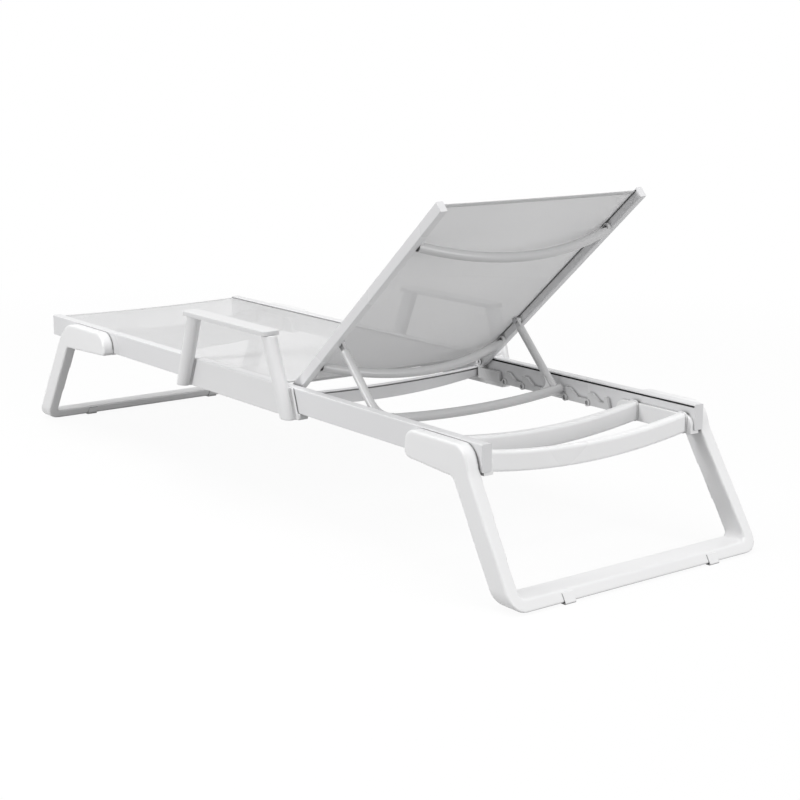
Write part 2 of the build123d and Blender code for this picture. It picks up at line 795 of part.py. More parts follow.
# Hinge knuckles: a plug in the back rail's lower end with a round nose about the pin
with BuildPart() as near_knuckle:
    with BuildSketch(Plane.XZ.offset(back_inner)):
        with BuildLine():
            front_side = Line(on_back(knuckle_end, 0), on_back(-pivot_setback, 0))
            nose = ThreePointArc(
                front_side @ 1,
                on_back(-pivot_setback - back_depth / 2, back_depth / 2),
                on_back(-pivot_setback, back_depth),
            )
            rear_side = Line(nose @ 1, on_back(knuckle_end, back_depth))
            Line(rear_side @ 1, front_side @ 0)
        make_face()
    extrude(amount=back_width)
    with BuildSketch(back_section(knuckle_end)):
        with Locations((back_middle_y, back_cavity_middle)):
            Rectangle(back_cavity_width - 2 * cap_fit, back_cavity_depth - 2 * cap_fit)
    extrude(amount=cap_plug)
    with BuildSketch(Plane.XZ.offset(back_inner - cut_overrun)):
        with Locations((hinge_x, hinge_z)):
            Circle(pin_radius + pin_clearance)
    extrude(amount=back_width + 2 * cut_overrun, mode=Mode.SUBTRACT)
save_pair(near_knuckle.part, "hinge_knuckle")

# Top caps of the back rails
with BuildPart() as near_top_cap:
    with BuildSketch(back_section(back_length - cap_plate)):
        with Locations((back_middle_y, -back_depth / 2)):
            RectangleRounded(back_width, back_depth, rail_corner)
    extrude(amount=cap_plate)
    with BuildSketch(back_section(back_length - cap_plate)):
        with Locations((back_middle_y, back_cavity_middle)):
            Rectangle(back_cavity_width - 2 * cap_fit, back_cavity_depth - 2 * cap_fit)
    extrude(amount=-cap_plug)
save_pair(near_top_cap.part, "back_top_cap")


# A round cross tube of the backrest, bowed backwards and cut square against both back rails, with a round
# ear at each end that a bolt holds on the rail
def back_tube(along):
    end_x, end_z = on_back(along, back_tube_end_depth)
    middle_x, middle_z = on_back(along, back_tube_end_depth + back_tube_bow)
    ear_place = on_back(along + tube_ear_rise, tube_ear_depth)
    with BuildPart() as tube:
        with BuildLine():
            bow = ThreePointArc(
                (end_x, -back_inner, end_z),
                (middle_x, 0, middle_z),
                (end_x, back_inner, end_z),
            )
            near_end = Line(bow @ 0 - (bow % 0) * back_tube_diameter / 2, bow @ 0)
            Line(bow @ 1, bow @ 1 + (bow % 1) * back_tube_diameter / 2)
        with BuildSketch(Plane(origin=near_end @ 0, z_dir=near_end % 0)):
            Circle(back_tube_diameter / 2)
            Circle(back_tube_diameter / 2 - back_tube_wall, mode=Mode.SUBTRACT)
        sweep()
        split(bisect_by=Plane.XZ.offset(back_inner), keep=Keep.BOTTOM)
        split(bisect_by=Plane.XZ.offset(-back_inner), keep=Keep.TOP)
        for ear_start, ear_way in ((back_inner, -1), (-back_inner, 1)):
            with BuildSketch(Plane.XZ.offset(ear_start)):
                with Locations(ear_place):
                    Circle(tube_ear_radius)
            extrude(amount=ear_way * tube_ear_length)
            with BuildSketch(Plane.XZ.offset(ear_start)):
                with Locations(ear_place):
                    Circle(tube_bolt_radius + tube_bolt_fit)
            extrude(amount=ear_way * tube_ear_length, mode=Mode.SUBTRACT)
            with BuildSketch(Plane.XZ.offset(ear_start + ear_way * (tube_ear_length - tube_bolt_recess))):
                with Locations(ear_place):
                    Circle(tube_bolt_head + tube_bolt_fit)
            extrude(amount=ear_way * (tube_bolt_recess + back_tube_diameter), mode=Mode.SUBTRACT)
    return tube.part


save(back_tube(lower_tube_at), "lower_back_tube")
save(back_tube(upper_tube_at), "upper_back_tube")

# Bolts of the back tubes: a head sunk in each ear and a shank into the back rail
tube_bolt_seat = back_inner - tube_ear_length + tube_bolt_recess
with BuildPart() as near_tube_bolts:
    with BuildSketch(Plane.XZ.offset(tube_bolt_seat - tube_bolt_head_thick)):
        with Locations(*tube_bolt_places):
            Circle(tube_bolt_head)
    extrude(amount=tube_bolt_head_thick)
    with BuildSketch(Plane.XZ.offset(tube_bolt_seat)):
        with Locations(*tube_bolt_places):
            Circle(tube_bolt_radius)
    extrude(amount=back_inner - tube_bolt_seat + tube_bolt_grip)
save_group(near_tube_bolts.part, "back_tube_bolts")

# Back sling, cut back beside the hinge knuckles, and its spline rods
back_sling_length = back_length - cap_plate - sling_inset - back_sling_start
relief_length = knuckle_end - back_sling_start + spline_gap
with BuildPart() as back_sling:
    with BuildSketch(back_layer(groove_drop + sling_thick / 2)):
        with Locations((back_sling_start + back_sling_length / 2, 0)):
            Rectangle(back_sling_length, 2 * (back_inner + sling_tuck))
        with Locations(
            (back_sling_start + relief_length / 2, -back_inner - sling_tuck),
            (back_sling_start + relief_length / 2, back_inner + sling_tuck),
        ):
            Rectangle(relief_length, 2 * (sling_tuck + spline_gap), mode=Mode.SUBTRACT)
    extrude(amount=sling_thick)
save(back_sling.part, "back_sling")
with BuildPart() as near_back_spline:
    with BuildSketch(back_section(knuckle_end + spline_gap)):
        with Locations((-back_inner - groove_depth, -groove_drop)):
            Circle(spline_radius)
    extrude(amount=back_length - cap_plate - sling_inset - knuckle_end - spline_gap)
save_pair(near_back_spline.part, "back_spline")

# Prop stay pivots: pins in the back rails' inner walls, with a spacer between the rail and the stay's eye
stay_arm_y = back_inner - stay_arm_gap - stay_arm_diameter / 2
stay_pin_end = stay_arm_y - stay_eye_thick / 2 - pin_gap
spacer_start = stay_arm_y + stay_eye_thick / 2 + pin_gap
with BuildPart() as near_stay_pin:
    with BuildSketch(Plane.XZ.offset(stay_pin_end - pin_head_thick)):
        with Locations((pivot_x, pivot_z)):
            Circle(stay_eye_radius)
    extrude(amount=pin_head_thick)
    with BuildSketch(Plane.XZ.offset(stay_pin_end)):
        with Locations((pivot_x, pivot_z)):
            Circle(stay_pin_radius)
    extrude(amount=back_inner - stay_pin_end + back_width / 2)
save_pair(near_stay_pin.part, "stay_pin")
with BuildPart() as near_stay_spacer:
    with BuildSketch(Plane.XZ.offset(spacer_start)):
        with Locations((pivot_x, pivot_z)):
            Circle(stay_spacer_radius)
            Circle(stay_pin_radius + pin_seat, mode=Mode.SUBTRACT)
    extrude(amount=back_inner - spacer_start)
save_pair(near_stay_spacer.part, "stay_spacer")

# Prop stay: a bowed bar that rests against the fourth hook when the back is at its drawn angle
arm_radius = stay_arm_diameter / 2
bar_radius = stay_bar_diameter / 2
stay_bar_x = hook_places[3] - hook_lean - bar_radius
stay_bar_z = hook_floor_z + bar_radius
stay_run = Vector(stay_bar_x - pivot_x, 0, stay_bar_z - pivot_z)
stay_direction = stay_run.normalized()
bar_tilt = 2 * atan(stay_bar_bow / rack_face)
bar_end_y = rack_face - boss_rise - rack_gap - stay_plug_plate - bar_radius * sin(bar_tilt)
bar_line = ThreePointArc(
    (stay_bar_x, -bar_end_y, stay_bar_z),
    Vector(stay_bar_x, 0, stay_bar_z) + stay_direction * stay_bar_bow,
    (stay_bar_x, bar_end_y, stay_bar_z),
)
bar_end = Plane(origin=bar_line @ 0, z_dir=bar_line % 0)
with BuildPart() as stay_bar:
    with BuildSketch(bar_end):
        Circle(bar_radius)
        Circle(bar_radius - stay_bar_wall, mode=Mode.SUBTRACT)
    sweep(path=bar_line)
save(stay_bar.part, "stay_bar")
with BuildPart() as near_stay_plug:
    with BuildSketch(bar_end):
        Circle(bar_radius)
    extrude(amount=-stay_plug_plate)
    with BuildSketch(bar_end):
        Circle(bar_radius - stay_bar_wall - cap_fit)
    extrude(amount=cap_plug)
save_pair(near_stay_plug.part, "stay_plug")

# The room that the bar takes up in the arms and gussets welded to it
with BuildPart() as bar_room:
    with BuildSketch(bar_end):
        Circle(bar_radius + weld_gap)
    sweep(path=bar_line)

# Arms of the prop stay, each with an eye at its pivot
arm_start = Vector(pivot_x, -stay_arm_y, pivot_z)
eye_plane = Plane(origin=arm_start, x_dir=stay_direction, z_dir=(0, -1, 0))
with BuildPart() as near_stay_arm:
    with BuildSketch(Plane(origin=arm_start + stay_direction * stay_eye_length, z_dir=stay_direction)):
        Circle(arm_radius)
    extrude(amount=stay_run.length - stay_eye_length)
    with BuildSketch(eye_plane.offset(-stay_eye_thick / 2)):
        Circle(stay_eye_radius)
        with Locations(((stay_eye_length + stay_eye_thick) / 2, 0)):
            Rectangle(stay_eye_length + stay_eye_thick, 2 * stay_eye_radius)
    extrude(amount=stay_eye_thick)
    with BuildSketch(eye_plane.offset(-stay_eye_thick)):
        Circle(stay_pin_radius + pin_clearance)
    extrude(amount=2 * stay_eye_thick, mode=Mode.SUBTRACT)
    add(bar_room.part, mode=Mode.SUBTRACT)
save_pair(near_stay_arm.part, "stay_arm")

# Gussets in the corner of each arm and the bar, with a hollow curve on their open side
gusset_plane = Plane(
    origin=(stay_bar_x, -stay_arm_y, stay_bar_z),
    x_dir=(0, 1, 0),
    z_dir=Vector(0, 1, 0).cross(stay_direction * -1),
)
arm_side = arm_radius + weld_gap
bar_sag = stay_bar_bow * (1 - ((stay_arm_y - arm_side - gusset_leg) / bar_end_y) ** 2)
gusset_top = bar_radius - bar_sag + gusset_leg
with BuildPart() as near_gusset:
    with BuildSketch(gusset_plane.offset(-gusset_thick / 2)):
        with Locations((arm_side + gusset_leg / 2, (gusset_top - bar_radius) / 2)):
            Rectangle(gusset_leg, gusset_top + bar_radius)
        with Locations((arm_side + gusset_leg, gusset_top)):
            Circle(gusset_leg - gusset_edge, mode=Mode.SUBTRACT)
    extrude(amount=gusset_thick)
    add(bar_room.part, mode=Mode.SUBTRACT)
save_pair(near_gusset.part, "stay_gusset")
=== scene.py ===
import json
import math

import bmesh
import bpy
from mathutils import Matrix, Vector


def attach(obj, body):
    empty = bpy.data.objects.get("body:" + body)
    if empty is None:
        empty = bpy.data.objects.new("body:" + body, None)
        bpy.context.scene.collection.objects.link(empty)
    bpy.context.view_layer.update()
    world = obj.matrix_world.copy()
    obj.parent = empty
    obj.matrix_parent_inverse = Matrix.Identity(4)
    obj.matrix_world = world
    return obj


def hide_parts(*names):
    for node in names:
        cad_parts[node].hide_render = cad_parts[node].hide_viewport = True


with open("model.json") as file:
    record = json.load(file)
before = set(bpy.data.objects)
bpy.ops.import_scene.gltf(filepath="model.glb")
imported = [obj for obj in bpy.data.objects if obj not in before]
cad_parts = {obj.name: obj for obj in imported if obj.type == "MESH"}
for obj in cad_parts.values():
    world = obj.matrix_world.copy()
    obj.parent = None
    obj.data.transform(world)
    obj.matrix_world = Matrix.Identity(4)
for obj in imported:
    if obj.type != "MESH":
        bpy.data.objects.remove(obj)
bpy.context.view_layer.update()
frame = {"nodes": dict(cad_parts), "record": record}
scene = bpy.context.scene
print("lounger frame loaded,", len(frame["nodes"]), "pieces")

# camera of the photograph, behind the head end on the near side
photoCamera = {"place": (3.2081, -2.2200, 1.0453), "aim": (-0.7825, 0.5846, -0.2145), "lens": 72.39,
               "sensor": 36.0}
cameraData = bpy.data.cameras.new("photoCamera")
cameraData.lens = photoCamera["lens"]
cameraData.sensor_width = photoCamera["sensor"]
camera = bpy.data.objects.new("photoCamera", cameraData)
camera.location = photoCamera["place"]
camera.rotation_euler = Vector(photoCamera["aim"]).to_track_quat("-Z", "Y").to_euler()
scene.collection.objects.link(camera)
scene.camera = camera
print("camera set")

# the rails that hold the slings, in metres: a point on their top line, their lean and their inner face
sideRails = {"start": Vector((0.0, 0.0, 0.301)), "lean": 0.0, "innerFace": 0.282}
backRails = {"start": Vector((0.21035, 0.0, 0.30299)), "lean": math.radians(40.76), "innerFace": 0.2632}
backAlong = Vector((math.cos(backRails["lean"]), 0.0, math.sin(backRails["lean"])))
backFront = Vector((-math.sin(backRails["lean"]), 0.0, math.cos(backRails["lean"])))


def onBack(along, behind):  # a place on the backrest, up along its top line and behind it
    return backRails["start"] + backAlong * along - backFront * behind


# node helpers, for materials and geometry: a feed is a link or a plain value
def feedSocket(tree, socket, value):
    for one in value if isinstance(value, list) else [value]:
        if isinstance(one, bpy.types.NodeSocket):
            tree.links.new(one, socket)
        else:
            socket.default_value = one


def addNode(tree, kind, feeds=None, **settings):
    node = tree.nodes.new(kind)
    for key, value in settings.items():  # first, because they decide which sockets there are
        setattr(node, key, value)
    for label, value in (feeds or {}).items():
        feedSocket(tree, node.inputs[label], value)
    return node


def mathNode(tree, operation, *values):
    return addNode(tree, "ShaderNodeMath", dict(enumerate(values)), operation=operation).outputs[0]


def vectorNode(tree, *values):
    return addNode(tree, "ShaderNodeCombineXYZ", dict(enumerate(values))).outputs[0]


def splitNode(tree, vector):
    return addNode(tree, "ShaderNodeSeparateXYZ", {0: vector}).outputs


def rangeNode(tree, value, low, high, toLow=0.0, toHigh=1.0):
    feeds = {"Value": value, "From Min": low, "From Max": high, "To Min": toLow, "To Max": toHigh}
    return addNode(tree, "ShaderNodeMapRange", feeds, interpolation_type="SMOOTHSTEP").outputs["Result"]


def mixNode(tree, factor, first, second, **settings):
    return addNode(tree, "ShaderNodeMix", {"Factor": factor, "A": first, "B": second}, **settings).outputs["Result"]


def mixColours(tree, factor, first, second):
    return mixNode(tree, factor, (*first, 1.0), (*second, 1.0), data_type="RGBA")


def newMaterial(name, colour, roughness, shaderValues):
    material = bpy.data.materials.new(name)
    material.use_nodes = True
    shader = material.node_tree.nodes["Principled BSDF"]
    for label, value in {"Base Color": (*colour, 1.0), "Roughness": roughness, **shaderValues}.items():
        shader.inputs[label].default_value = value
    return material, shader


# powder coat, plastic and steel: fine grain, faint cloudiness, softened edges and painted shade in the corners
coatTexture = {"cloudScale": 3.0, "cloudDetail": 1.0, "cloudFrom": 0.3, "cloudTo": 0.7, "roughSwing": 0.02,
               "grainDetail": 2.0, "grainStrength": 0.25, "edgeSamples": 6}
crevice = {"reach": 0.011, "samples": 8, "from": 0.25, "to": 0.85, "shade": 0.38}


def coatedFinish(name, setup):
    material, shader = newMaterial(name, setup["colour"], setup["rough"], {"Metallic": setup.get("metal", 0.0)})
    tree = material.node_tree
    place = addNode(tree, "ShaderNodeTexCoord").outputs["Object"]
    cloud = addNode(tree, "ShaderNodeTexNoise", {"Vector": place, "Scale": coatTexture["cloudScale"],
                                                 "Detail": coatTexture["cloudDetail"]}).outputs["Fac"]
    spread = rangeNode(tree, cloud, coatTexture["cloudFrom"], coatTexture["cloudTo"])
    tint = mixColours(tree, spread, setup["shade"], setup["colour"])
    # ambient occlusion darkens the colour in corners, crevices and between parts: painted shade
    corner = addNode(tree, "ShaderNodeAmbientOcclusion", {"Distance": crevice["reach"]}, samples=crevice["samples"])
    cornerShade = rangeNode(tree, corner.outputs["AO"], crevice["from"], crevice["to"], crevice["shade"], 1.0)
    feedSocket(tree, shader.inputs["Base Color"],
               mixNode(tree, 1.0, tint, cornerShade, data_type="RGBA", blend_type="MULTIPLY"))
    feedSocket(tree, shader.inputs["Roughness"],
               rangeNode(tree, cloud, coatTexture["cloudFrom"], coatTexture["cloudTo"],
                         setup["rough"] - coatTexture["roughSwing"], setup["rough"] + coatTexture["roughSwing"]))
    grain = addNode(tree, "ShaderNodeTexNoise", {"Vector": place, "Scale": setup["grain"],
                                                 "Detail": coatTexture["grainDetail"]})
    softEdge = addNode(tree, "ShaderNodeBevel", {"Radius": setup["edge"]}, samples=coatTexture["edgeSamples"])
    bump = addNode(tree, "ShaderNodeBump", {"Strength": coatTexture["grainStrength"], "Distance": setup["height"],
                                            "Height": grain.outputs["Fac"], "Normal": softEdge.outputs["Normal"]})
    feedSocket(tree, shader.inputs["Normal"], bump.outputs["Normal"])
    return material


powderCoat = {"grain": 1400, "height": 0.00004}
moulded = {"grain": 900, "height": 0.00005, "edge": 0.0010}
finishSetups = {
    "railPowderCoat": {**powderCoat, "colour": (0.79, 0.79, 0.80), "shade": (0.783, 0.783, 0.793),
                       "rough": 0.28, "edge": 0.0007},
    # the tubes are the rails' white powder coat; their darker grey is painted shade
    "tubeShadedCoat": {**powderCoat, "colour": (0.63, 0.63, 0.635), "shade": (0.62, 0.62, 0.625),
                       "rough": 0.22, "edge": 0.0008},
    # the rack and knuckles are nearly the rails' white; their darker grey is painted shade that outlines them
    "rackShadedPlastic": {**moulded, "colour": (0.72, 0.72, 0.725), "shade": (0.70, 0.70, 0.705), "rough": 0.28,
                    "edge": 0.0004},
    # the arm pads are the armrests' white plastic; their darker grey is painted shade on their lit tops
    "armPadShadedWhite": {**moulded, "colour": (0.73, 0.73, 0.735), "shade": (0.72, 0.72, 0.725), "rough": 0.30},
    "mouldedWhite": {**moulded, "colour": (0.91, 0.91, 0.915), "shade": (0.90, 0.90, 0.905), "rough": 0.32},
    "armrestWhite": {**moulded, "colour": (0.82, 0.82, 0.825), "shade": (0.81, 0.81, 0.815), "rough": 0.32},
    "beamWhite": {**moulded, "colour": (0.94, 0.94, 0.945), "shade": (0.93, 0.93, 0.935), "rough": 0.28},
    "floorPadPlastic": {"colour": (0.91, 0.91, 0.915), "shade": (0.90, 0.90, 0.905), "rough": 0.45,
                        "grain": 700, "height": 0.0001, "edge": 0.0006},
    "zincPlatedSteel": {"colour": (0.52, 0.52, 0.53), "shade": (0.46, 0.46, 0.47), "rough": 0.32,
                        "grain": 1600, "height": 0.00008, "edge": 0.0004, "metal": 1.0},
    "splinePlastic": {"colour": (0.10, 0.10, 0.10), "shade": (0.08, 0.08, 0.08), "rough": 0.6,
                      "grain": 700, "height": 0.0002, "edge": 0.0004},
    "stitchThread": {"colour": (0.88, 0.88, 0.88), "shade": (0.84, 0.84, 0.84), "rough": 0.7,
                     "grain": 2500, "height": 0.0001, "edge": 0.0002},
}
finishes = {name: coatedFinish(name, setup) for name, setup in finishSetups.items()}

# sling groove in the rails' inner faces, measured down and in from their top inner edge, with painted shade inside
groove = {"top": 0.0022, "low": 0.0098, "deep": 0.0108, "soft": 0.0003, "darkFrom": 0.0012,
          "dark": (0.02, 0.02, 0.02, 1.0)}


def groovedCoat(name, rails):
    material = finishes["railPowderCoat"].copy()
    material.name = name
    tree = material.node_tree
    colourSocket = tree.nodes["Principled BSDF"].inputs["Base Color"]
    place = addNode(tree, "ShaderNodeTexCoord").outputs["Object"]
    level = addNode(tree, "ShaderNodeVectorRotate", {"Vector": place, "Center": rails["start"],
                                                     "Angle": rails["lean"]}, rotation_type="Y_AXIS")
    split = splitNode(tree, level.outputs["Vector"])
    sink = mathNode(tree, "SUBTRACT", mathNode(tree, "ABSOLUTE", split["Y"]), rails["innerFace"])
    drop = mathNode(tree, "SUBTRACT", rails["start"].z, split["Z"])
    inDepth = mathNode(tree, "MULTIPLY", rangeNode(tree, sink, groove["soft"], groove["darkFrom"]),
                       rangeNode(tree, sink, groove["deep"], groove["deep"] + groove["soft"], 1.0, 0.0))
    inHeight = mathNode(tree, "MULTIPLY", rangeNode(tree, drop, groove["top"] - groove["soft"], groove["top"]),
                        rangeNode(tree, drop, groove["low"], groove["low"] + groove["soft"], 1.0, 0.0))
    # the groove's inside is painted near-black: painted shade, not the rail's own colour
    feedSocket(tree, colourSocket, mixNode(tree, mathNode(tree, "MULTIPLY", inDepth, inHeight),
                                           colourSocket.links[0].from_socket, groove["dark"], data_type="RGBA"))
    return material


finishes["sideRailCoat"] = groovedCoat("sideRailCoat", sideRails)
finishes["backRailCoat"] = groovedCoat("backRailCoat", backRails)

# sling mesh: warp and weft threads in metres of cloth, open between them
slingCloth = {"pitch": 0.0013, "warp": (0.87, 0.87, 0.875), "weft": (0.79, 0.79, 0.795), "threadCover": 0.90,
              "openShare": 0.68, "openSoft": 0.08, "crossSoft": 0.3, "rough": 0.62, "specular": 0.3, "sheen": 0.15,
              "threadHeight": 0.0003, "threadStrength": 0.5}
hemCloth = {**slingCloth, "warp": (0.90, 0.90, 0.905), "weft": (0.86, 0.86, 0.865), "threadCover": 0.62,
            "openShare": 0.60}


def clothFinish(name, setup):
    material, shader = newMaterial(name, setup["warp"], setup["rough"],
                                   {"Specular IOR Level": setup["specular"], "Sheen Weight": setup["sheen"]})
    tree = material.node_tree
    split = splitNode(tree, addNode(tree, "ShaderNodeUVMap", uv_map="clothMetres").outputs["UV"])
    turns = math.pi / setup["pitch"]
    alongWave = mathNode(tree, "SINE", mathNode(tree, "MULTIPLY", split["X"], turns))
    acrossWave = mathNode(tree, "SINE", mathNode(tree, "MULTIPLY", split["Y"], turns))
    warp = mathNode(tree, "ABSOLUTE", acrossWave)
    weft = mathNode(tree, "ABSOLUTE", alongWave)
    warpOver = rangeNode(tree, mathNode(tree, "MULTIPLY", alongWave, acrossWave),
                         -setup["crossSoft"], setup["crossSoft"])
    weftOver = mathNode(tree, "SUBTRACT", 1.0, warpOver)
    feedSocket(tree, shader.inputs["Base Color"], mixColours(tree, warpOver, setup["weft"], setup["warp"]))
    height = mathNode(tree, "ADD", mathNode(tree, "MULTIPLY", warp, warpOver),
                      mathNode(tree, "MULTIPLY", weft, weftOver))
    bump = addNode(tree, "ShaderNodeBump", {"Strength": setup["threadStrength"],
                                            "Distance": setup["threadHeight"], "Height": height})
    feedSocket(tree, shader.inputs["Normal"], bump.outputs["Normal"])
    openLow, openHigh = setup["openShare"] - setup["openSoft"], setup["openShare"] + setup["openSoft"]
    thread = mathNode(tree, "MAXIMUM", rangeNode(tree, warp, openLow, openHigh),
                      rangeNode(tree, weft, openLow, openHigh))
    openPart = 2.0 * math.asin(setup["openShare"]) / math.pi
    meanCover = setup["threadCover"] * (1.0 - openPart * openPart)
    paths = addNode(tree, "ShaderNodeLightPath").outputs
    soft = mathNode(tree, "MAXIMUM", paths["Is Shadow Ray"], paths["Is Diffuse Ray"])
    cover = mathNode(tree, "MULTIPLY", thread, setup["threadCover"])
    # light takes the mean cover, which keeps the shade behind the weave clean
    feedSocket(tree, shader.inputs["Alpha"], mixNode(tree, soft, cover, meanCover, data_type="FLOAT"))
    return material


finishes["slingMesh"] = clothFinish("slingMesh", slingCloth)
finishes["slingHem"] = clothFinish("slingHem", hemCloth)
print("finishes ready")


# geometry node helpers
def newTree(name, inputs):
    tree = bpy.data.node_groups.new(name, "GeometryNodeTree")
    tree.is_modifier = True
    keys = {}
    for label, kind in inputs.items():
        socket = tree.interface.new_socket(name=label, in_out="INPUT", socket_type="NodeSocket" + kind)
        keys[label] = socket.identifier
    tree.interface.new_socket(name="Geometry", in_out="OUTPUT", socket_type="NodeSocketGeometry")
    return tree, keys, addNode(tree, "NodeGroupInput").outputs


def endTree(tree, geometry, material):
    real = addNode(tree, "GeometryNodeRealizeInstances", {"Geometry": geometry})
    coated = addNode(tree, "GeometryNodeSetMaterial", {"Geometry": real.outputs["Geometry"], "Material": material})
    addNode(tree, "NodeGroupOutput", {"Geometry": coated.outputs["Geometry"]})


def newPiece(name, mesh):
    piece = bpy.data.objects.new(name, mesh)
    scene.collection.objects.link(piece)
    return piece


def bakeTree(name, tree, keys, values, points=()):
    mesh = bpy.data.meshes.new(name)
    mesh.from_pydata([tuple(point) for point in points], [], [])
    piece = newPiece(name, mesh)
    modifier = piece.modifiers.new("shape", "NODES")
    modifier.node_group = tree
    for label, value in values.items():
        modifier[keys[label]] = value
    depsgraph = bpy.context.evaluated_depsgraph_get()
    baked = bpy.data.meshes.new_from_object(piece.evaluated_get(depsgraph), preserve_all_data_layers=True,
                                            depsgraph=depsgraph)
    piece.modifiers.clear()
    piece.data = baked
    return piece


# a sling's cloth, hems and stitches share their sag, with nothing at the held edges and most in mid width
slingInputs = {"Held Width": "Float", "Sag": "Float", "Rise": "Float", "Start": "Vector", "Lean": "Vector",
               "Material": "Material"}


def sagNodes(tree, inputs):
    across = splitNode(tree, addNode(tree, "GeometryNodeInputPosition").outputs["Position"])["Y"]
    share = mathNode(tree, "DIVIDE", mathNode(tree, "MULTIPLY", across, 2.0), inputs["Held Width"])
    bowl = mathNode(tree, "SUBTRACT", 1.0, mathNode(tree, "MULTIPLY", share, share))
    sag = mathNode(tree, "MULTIPLY", mathNode(tree, "MULTIPLY", bowl, inputs["Sag"]), -1.0)
    return mathNode(tree, "ADD", sag, inputs["Rise"])


def placeNodes(tree, geometry, inputs):
    return addNode(tree, "GeometryNodeTransform", {"Geometry": geometry, "Translation": inputs["Start"],
                                                   "Rotation": inputs["Lean"]}).outputs["Geometry"]


# cloth strip: a grid with its cloth measured in metres, sagged and laid in its plane
clothTree, clothKeys, clothIn = newTree("clothStrip", {"Length": "Float", "Rows": "Int", "Columns": "Int",
                                                       **slingInputs})
grid = addNode(clothTree, "GeometryNodeMeshGrid", {"Size X": clothIn["Length"], "Size Y": clothIn["Held Width"],
                                                   "Vertices X": clothIn["Rows"], "Vertices Y": clothIn["Columns"]})
clothSize = vectorNode(clothTree, clothIn["Length"], clothIn["Held Width"], 0.0)
clothMetres = addNode(clothTree, "ShaderNodeVectorMath", {0: grid.outputs["UV Map"], 1: clothSize},
                      operation="MULTIPLY")
measured = addNode(clothTree, "GeometryNodeStoreNamedAttribute",
                   {"Name": "clothMetres", "Geometry": grid.outputs["Mesh"], "Value": clothMetres.outputs[0]},
                   data_type="FLOAT2", domain="CORNER")
halfLength = mathNode(clothTree, "DIVIDE", clothIn["Length"], 2.0)
sagged = addNode(clothTree, "GeometryNodeSetPosition",
                 {"Geometry": measured.outputs["Geometry"],
                  "Offset": vectorNode(clothTree, halfLength, 0.0, sagNodes(clothTree, clothIn))})
endTree(clothTree, placeNodes(clothTree, sagged.outputs["Geometry"], clothIn), clothIn["Material"])

# stitch row: small thread loops across a hem
bead = {"segments": 8, "rings": 5, "stretch": 3.6}
stitchTree, stitchKeys, stitchIn = newTree("stitchRow", {"Pitch": "Float", "Thread": "Float", "Along": "Float",
                                                         "Row Width": "Float", **slingInputs})
rowCount = mathNode(stitchTree, "DIVIDE", stitchIn["Row Width"], stitchIn["Pitch"])
rowEdge = mathNode(stitchTree, "MULTIPLY", stitchIn["Row Width"], -0.5)
row = addNode(stitchTree, "GeometryNodeMeshLine",
              {"Count": rowCount, "Start Location": vectorNode(stitchTree, stitchIn["Along"], rowEdge, 0.0),
               "Offset": vectorNode(stitchTree, 0.0, stitchIn["Pitch"], 0.0)})
saggedRow = addNode(stitchTree, "GeometryNodeSetPosition",
                    {"Geometry": row.outputs["Mesh"],
                     "Offset": vectorNode(stitchTree, 0.0, 0.0, sagNodes(stitchTree, stitchIn))})
ball = addNode(stitchTree, "GeometryNodeMeshUVSphere", {"Segments": bead["segments"], "Rings": bead["rings"],
                                                        "Radius": stitchIn["Thread"]})
loop = addNode(stitchTree, "GeometryNodeTransform", {"Geometry": ball.outputs["Mesh"],
                                                     "Scale": (1.0, bead["stretch"], 1.0)})
loops = addNode(stitchTree, "GeometryNodeInstanceOnPoints", {"Points": saggedRow.outputs["Geometry"],
                                                             "Instance": loop.outputs["Geometry"]})
endTree(stitchTree, placeNodes(stitchTree, loops.outputs["Instances"], stitchIn), stitchIn["Material"])
print("cloth trees ready")

# slings, with a folded hem and a double row of stitches at each free end
slingMake = {"thick": 0.0008, "lift": 0.0014, "hem": 0.010, "hemThick": 2.6, "hemInset": 0.006, "hemRows": 4,
             "stitchPitch": 0.0042, "thread": 0.00045, "threadRise": 1.35, "stitchInset": 0.012,
             "stitchRows": (0.004, 0.0075)}
seatSling = {**slingMake, "node": "seat_sling", "body": "frame", "holders": ["near_seat_spline", "far_seat_spline"],
             "length": 1.166, "heldWidth": 0.5688, "rows": 118, "columns": 58, "sag": 0.004,
             "start": (-0.9955, 0.0, 0.295), "lean": 0.0}
backSling = {**slingMake, "node": "back_sling", "body": "backrest",
             "holders": ["near_back_spline", "far_back_spline"], "length": 0.677, "heldWidth": 0.5312,
             "rows": 70, "columns": 54, "sag": 0.0012, "start": tuple(onBack(along=0.003, behind=0.006)),
             "lean": -backRails["lean"]}


def thicken(piece, thickness):
    wall = piece.modifiers.new("thickness", "SOLIDIFY")
    wall.thickness = thickness
    wall.offset = 0.0
    for face in piece.data.polygons:
        face.use_smooth = True


